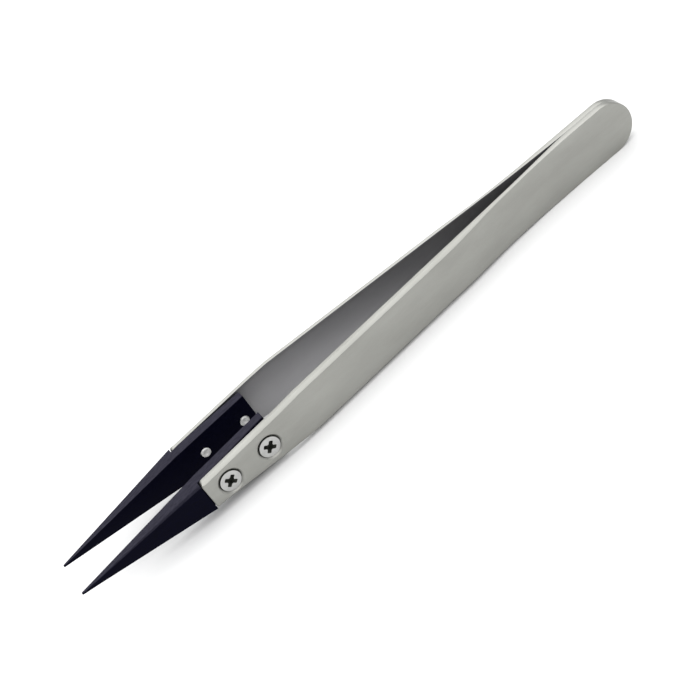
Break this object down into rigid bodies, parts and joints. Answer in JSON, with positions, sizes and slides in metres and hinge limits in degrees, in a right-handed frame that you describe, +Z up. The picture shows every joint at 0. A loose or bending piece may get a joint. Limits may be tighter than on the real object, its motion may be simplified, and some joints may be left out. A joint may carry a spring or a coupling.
{
  "type": "precision tweezers",
  "caption": "Fine-point tweezers: spring-steel arms welded at a rounded heel, with screwed-on tapered black plastic tips that close when the arms are pressed together.",
  "frame": {"origin": "middle of the bounding box's bottom face: half way along the tool, on the plane between the two arms, at the level of the heel's lower edge", "axes": "+X along the tool from the heel to the tips, +Y towards the left arm (the way it opens), +Z up across the arms' width"},
  "size_m": [0.13, 0.0142, 0.0104],
  "materials": {
    "arm_steel": "satin, fine lengthwise grain",
    "tip_plastic": "matt fibre-filled antistatic plastic",
    "screw_steel": "bright plated steel"
  },
  "bodies": {
    "heel": {"left_arm_heel": "arm_steel", "right_arm_heel": "arm_steel", "weld_nuggets": "arm_steel"},
    "left_leg": {"left_arm": "arm_steel", "left_tip": "tip_plastic", "left_front_screw": "screw_steel", "left_rear_screw": "screw_steel"},
    "right_leg": {"right_arm": "arm_steel", "right_tip": "tip_plastic", "right_front_screw": "screw_steel", "right_rear_screw": "screw_steel"}
  },
  "joints": [
    {"name": "left_arm_flex", "type": "hinge", "parent": "heel", "child": "left_leg", "pos_m": [-0.041, 0.00085, 0.0052], "axis": [0, 0, -1], "range_deg": [0, 2.33], "stiffness_Nm_per_rad": 2.2},
    {"name": "right_arm_flex", "type": "hinge", "parent": "heel", "child": "right_leg", "pos_m": [-0.041, -0.00085, 0.0052], "axis": [0, 0, 1], "range_deg": [0, 2.33], "stiffness_Nm_per_rad": 2.2}
  ],
  "couplings": [
    {"joint": "right_arm_flex", "follows": "left_arm_flex", "ratio": 1}
  ]
}
